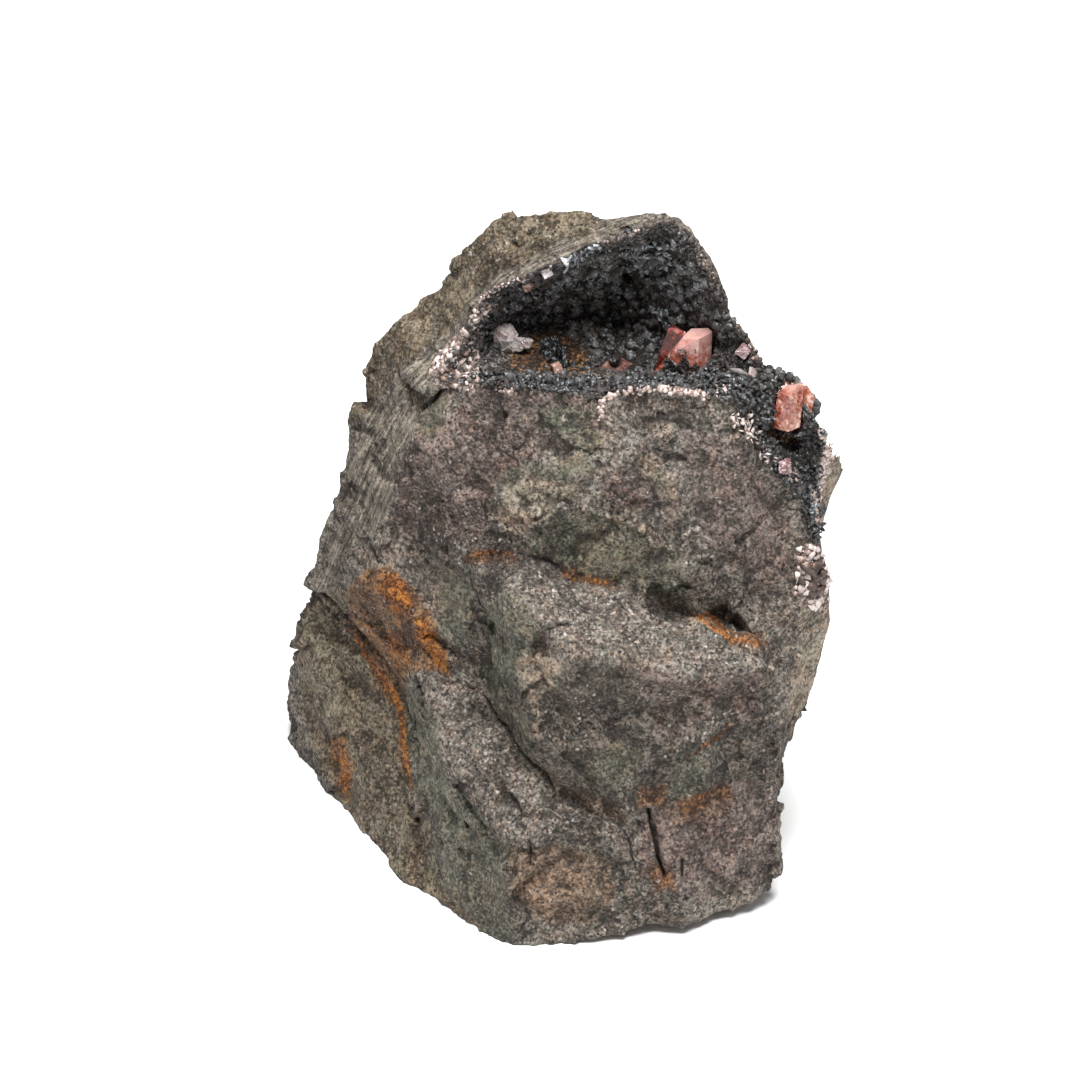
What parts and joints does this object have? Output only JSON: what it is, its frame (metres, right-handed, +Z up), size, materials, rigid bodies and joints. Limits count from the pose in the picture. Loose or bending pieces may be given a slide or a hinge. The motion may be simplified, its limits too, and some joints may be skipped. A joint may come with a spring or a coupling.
{
  "type": "rhodochrosite on matrix",
  "caption": "Broken block of dark rock with a black-lined hollow in its top, red-brown and pink carbonate crystals in it, and a flat cut face to rest on.",
  "frame": {"origin": "middle of the object's box on the face that it rests on", "axes": "+Z up, -Y towards the side that the hollow opens to, +X to the right seen from there"},
  "size_m": [0.1144, 0.0966, 0.1393],
  "materials": {
    "rock": "dark grey-brown broken rock, granular, with rust, olive patches and pale seams",
    "rhodochrosite": "salmon to deep red-brown crystal, glassy faces, clear with flaws inside",
    "pale_carbonate": "pale pink to whitish carbonate crystal, glassy, clouded",
    "black_oxide": "black oxide, glossy on its blades and globules"
  },
  "bodies": {
    "root": {"matrix": "rock", "crystal_pair": "rhodochrosite", "right_cluster": "rhodochrosite", "pale_crystal": "pale_carbonate", "ringed_crystal": "pale_carbonate", "black_ball": "black_oxide", "lavender_crystal": "pale_carbonate", "pink_blades": "pale_carbonate", "black_blades": "black_oxide", "chip_crystal": "pale_carbonate", "rim_crystal_low": "pale_carbonate", "rim_crystal_high": "pale_carbonate", "edge_crystal": "pale_carbonate"}
  },
  "joints": []
}
